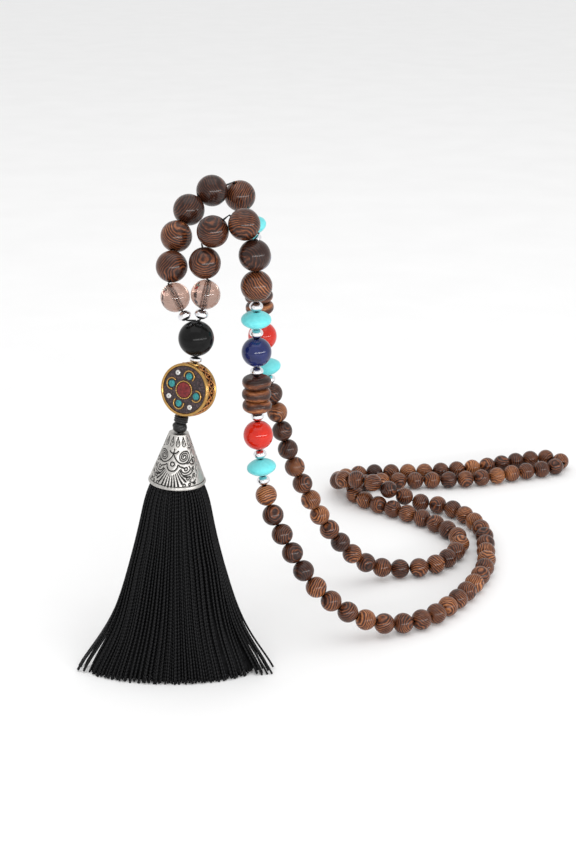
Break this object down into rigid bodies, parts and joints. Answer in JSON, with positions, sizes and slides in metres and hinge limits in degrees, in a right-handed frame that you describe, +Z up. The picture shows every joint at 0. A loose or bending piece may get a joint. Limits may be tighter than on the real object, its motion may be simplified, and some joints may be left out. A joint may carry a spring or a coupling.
{
  "type": "tassel necklace",
  "caption": "Long beaded necklace of dark wood, stone and silver beads with a round inlaid amulet, a silver cone cap and a black tassel, stored hanging by its arches of large beads.",
  "frame": {"origin": "under the two arches of large beads, where the necklace hangs", "axes": "+Z up, -Y is the side that the amulet's face looks toward, +X to the right in the picture"},
  "size_m": [0.211, 0.2173, 0.1699],
  "materials": {
    "wood": "satin, fine dark and light grain",
    "smoky_quartz": "clear, polished",
    "turquoise": "polished",
    "blue_stone": "polished",
    "red_stone": "polished",
    "black_stone": "polished",
    "silver_spacer": "polished",
    "thread": "waxed",
    "brass": "antiqued",
    "dark_inlay": "satin",
    "coral": "satin",
    "teal_inlay": "satin",
    "white_metal": "satin",
    "antique_silver": "antiqued",
    "tassel_thread": "shiny twisted thread"
  },
  "bodies": {
    "root": {"large_bead_1": "wood", "large_bead_2": "wood", "large_bead_3": "wood", "large_bead_4": "wood", "large_bead_5": "wood", "large_bead_6": "wood", "large_bead_7": "wood", "large_bead_8": "wood", "large_bead_9": "wood", "large_bead_10": "wood", "quartz_bead_1": "smoky_quartz", "quartz_bead_2": "smoky_quartz", "turquoise_bead_1": "turquoise", "turquoise_bead_2": "turquoise", "turquoise_bead_3": "turquoise", "turquoise_bead_4": "turquoise", "blue_bead_1": "blue_stone", "blue_bead_2": "blue_stone", "red_bead_1": "red_stone", "red_bead_2": "red_stone", "wood_disc_1": "wood", "wood_disc_2": "wood", "wood_disc_3": "wood", "wood_disc_4": "wood", "wood_disc_5": "wood", "wood_disc_6": "wood", "spacer_1": "silver_spacer", "spacer_2": "silver_spacer", "spacer_3": "silver_spacer", "spacer_4": "silver_spacer", "spacer_5": "silver_spacer", "spacer_6": "silver_spacer", "spacer_7": "silver_spacer", "spacer_8": "silver_spacer", "spacer_9": "silver_spacer", "spacer_10": "silver_spacer", "spacer_11": "silver_spacer", "spacer_12": "silver_spacer", "spacer_13": "silver_spacer", "spacer_14": "silver_spacer", "spacer_15": "silver_spacer", "small_beads_near": "wood", "small_beads_far": "wood", "string_thread": "thread", "black_bead": "black_stone", "hanger_thread": "thread", "amulet_case": "brass", "amulet_faces": "dark_inlay", "amulet_coral": "coral", "amulet_dots": "teal_inlay", "amulet_pearls": "white_metal", "amulet_wires": "brass", "cord_knot": "thread", "tassel_cap": "antique_silver", "tassel": "tassel_thread"}
  },
  "joints": []
}
